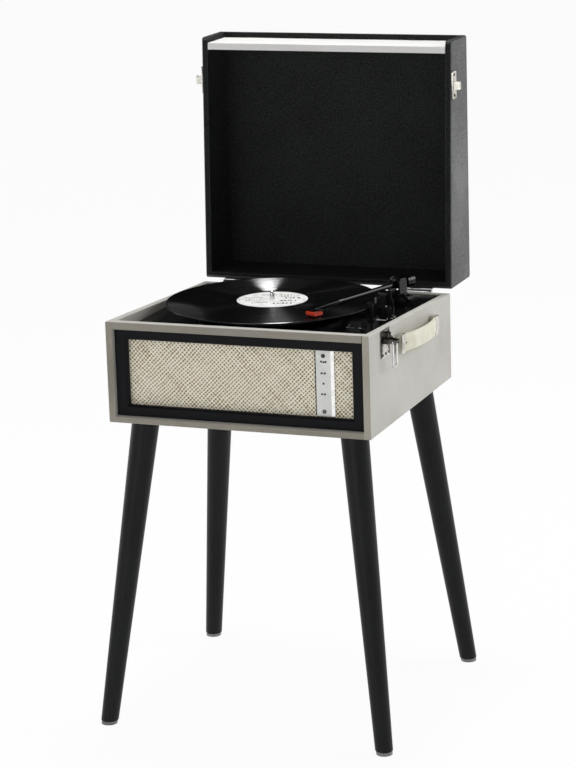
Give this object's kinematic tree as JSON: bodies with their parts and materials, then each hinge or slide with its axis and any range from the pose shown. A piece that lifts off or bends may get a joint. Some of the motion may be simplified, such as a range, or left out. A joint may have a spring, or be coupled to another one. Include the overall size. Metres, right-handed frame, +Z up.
{
  "type": "suitcase record player",
  "caption": "Portable record player in a wedge-shaped covered case on splayed tapered legs, with an open lid, belt-driven platter, tonearm, grille front and carrying strap.",
  "frame": {"origin": "on the floor, under the middle of the whole object with its lid open", "axes": "+Z up, +X to the right seen from the front, the grille faces -Y"},
  "size_m": [0.4342, 0.4802, 0.9209],
  "materials": {
    "black_frame": "matt black",
    "black_gloss": "gloss black",
    "case_covering": "matt greige leatherette over board",
    "chrome": "bright",
    "circuit": "green laminate",
    "grey_plastic": "matt grey",
    "grille_fabric": "coarse woven grille cloth",
    "inner_board": "bare fibreboard",
    "label_paper": "plain white paper",
    "leg_lacquer": "satin black lacquer",
    "lid_covering": "grained black leatherette over board",
    "pale_board": "matt pale leatherette over board",
    "red_plastic": "gloss red",
    "rubber": "matt",
    "silver": "brushed silver",
    "steel": "plain",
    "strap": "cream leatherette with stitching",
    "vinyl": "grooved black vinyl"
  },
  "bodies": {
    "case": {"case_shell": "case_covering", "bottom_board": "inner_board", "leg_front_left": "leg_lacquer", "leg_glide_front_left": "grey_plastic", "leg_socket_front_left": "steel", "leg_front_right": "leg_lacquer", "leg_glide_front_right": "grey_plastic", "leg_socket_front_right": "steel", "leg_rear_left": "leg_lacquer", "leg_glide_rear_left": "grey_plastic", "leg_socket_rear_left": "steel", "leg_rear_right": "leg_lacquer", "leg_glide_rear_right": "grey_plastic", "leg_socket_rear_right": "steel", "grille_frame": "black_frame", "grille_cloth": "grille_fabric", "speaker_baffle": "inner_board", "speaker_left": "black_frame", "speaker_right": "black_frame", "control_plate": "silver", "deck_plate": "black_gloss", "spindle": "chrome", "motor": "steel", "drive_belt": "rubber", "tonearm_base": "black_gloss", "arm_rest": "black_gloss", "volume_control": "steel", "circuit_board": "circuit", "jack_panel": "black_frame", "latch_base_left": "chrome", "latch_base_right": "chrome", "handle_strap": "strap", "handle_cap_front": "chrome", "handle_cap_rear": "chrome", "hinge_lower_leaf_left": "chrome", "hinge_lower_leaf_right": "chrome"},
    "lid": {"lid_shell": "lid_covering", "lid_front_board": "pale_board", "latch_keeper_left": "chrome", "latch_keeper_right": "chrome", "hinge_upper_leaf_left": "chrome", "hinge_upper_leaf_right": "chrome"},
    "turntable": {"platter": "black_frame", "slip_mat": "rubber", "record": "vinyl", "record_label": "label_paper"},
    "pulley": {"motor_pulley": "steel"},
    "arm_yoke": {"tonearm_gimbal": "black_gloss"},
    "arm": {"tonearm_tube": "black_gloss", "headshell": "black_gloss", "stylus": "red_plastic"},
    "cue_handle": {"cue_lever": "black_gloss"},
    "cue_bar": {"cue_platform": "black_gloss"},
    "speed_slider": {"speed_switch": "black_gloss"},
    "auto_stop_slider": {"auto_stop_switch": "black_gloss"},
    "knob": {"volume_knob": "black_gloss"},
    "left_latch_lever": {"latch_lever_left": "chrome"},
    "right_latch_lever": {"latch_lever_right": "chrome"},
    "left_latch_loop": {"latch_loop_left": "chrome"},
    "right_latch_loop": {"latch_loop_right": "chrome"}
  },
  "joints": [
    {"name": "lid_hinge", "type": "hinge", "parent": "case", "child": "lid", "pos_m": [0, 0.14795, 0.561], "axis": [1, 0, 0], "range_deg": [0, 90]},
    {"name": "platter_spin", "type": "hinge", "parent": "case", "child": "turntable", "pos_m": [-0.0161, -0.02845, 0.575], "axis": [0, 0, 1], "continuous": true},
    {"name": "pulley_spin", "type": "hinge", "parent": "case", "child": "pulley", "pos_m": [-0.07938, 0.02465, 0.569], "axis": [0, 0, 1], "continuous": true},
    {"name": "tonearm_swing", "type": "hinge", "parent": "case", "child": "arm_yoke", "pos_m": [0.14004, 0.05846, 0.591], "axis": [0, 0, 1], "range_deg": [-24, 16.5]},
    {"name": "tonearm_lift", "type": "hinge", "parent": "arm_yoke", "child": "arm", "pos_m": [0.14004, 0.05846, 0.591], "axis": [-0.9511, 0.309, 0], "range_deg": [0, 4]},
    {"name": "cue_lever_turn", "type": "hinge", "parent": "case", "child": "cue_handle", "pos_m": [0.16304, 0.05846, 0.5711], "axis": [-1, 0, 0], "range_deg": [0, 30]},
    {"name": "cue_bar_rise", "type": "slide", "parent": "case", "child": "cue_bar", "axis": [0, 0, 1], "range_m": [0, 0.002]},
    {"name": "speed_select", "type": "slide", "parent": "case", "child": "speed_slider", "axis": [0, 1, 0], "range_m": [0, 0.006]},
    {"name": "auto_stop_select", "type": "slide", "parent": "case", "child": "auto_stop_slider", "axis": [0, 1, 0], "range_m": [0, 0.006]},
    {"name": "volume_turn", "type": "hinge", "parent": "case", "child": "knob", "pos_m": [0.14704, -0.01654, 0.5601], "axis": [0, 0, -1], "range_deg": [-150, 150]},
    {"name": "left_latch_lever_turn", "type": "hinge", "parent": "case", "child": "left_latch_lever", "pos_m": [-0.1969, -0.14895, 0.56058], "axis": [0, -1, 0], "range_deg": [0, 78]},
    {"name": "left_latch_loop_turn", "type": "hinge", "parent": "left_latch_lever", "child": "left_latch_loop", "pos_m": [-0.20554, -0.14895, 0.55792], "axis": [0, -1, 0], "range_deg": [-258, 0]},
    {"name": "right_latch_lever_turn", "type": "hinge", "parent": "case", "child": "right_latch_lever", "pos_m": [0.1969, -0.14895, 0.56058], "axis": [0, 1, 0], "range_deg": [0, 78]},
    {"name": "right_latch_loop_turn", "type": "hinge", "parent": "right_latch_lever", "child": "right_latch_loop", "pos_m": [0.20554, -0.14895, 0.55792], "axis": [0, 1, 0], "range_deg": [-258, 0]}
  ],
  "couplings": [
    {"joint": "pulley_spin", "follows": "platter_spin", "ratio": 14.8},
    {"joint": "tonearm_lift", "follows": "cue_lever_turn", "ratio": 0.13333},
    {"joint": "cue_bar_rise", "follows": "cue_lever_turn", "m_per_rad": 0.0038197},
    {"joint": "left_latch_loop_turn", "follows": "left_latch_lever_turn", "ratio": -3.3077},
    {"joint": "right_latch_loop_turn", "follows": "right_latch_lever_turn", "ratio": -3.3077}
  ]
}
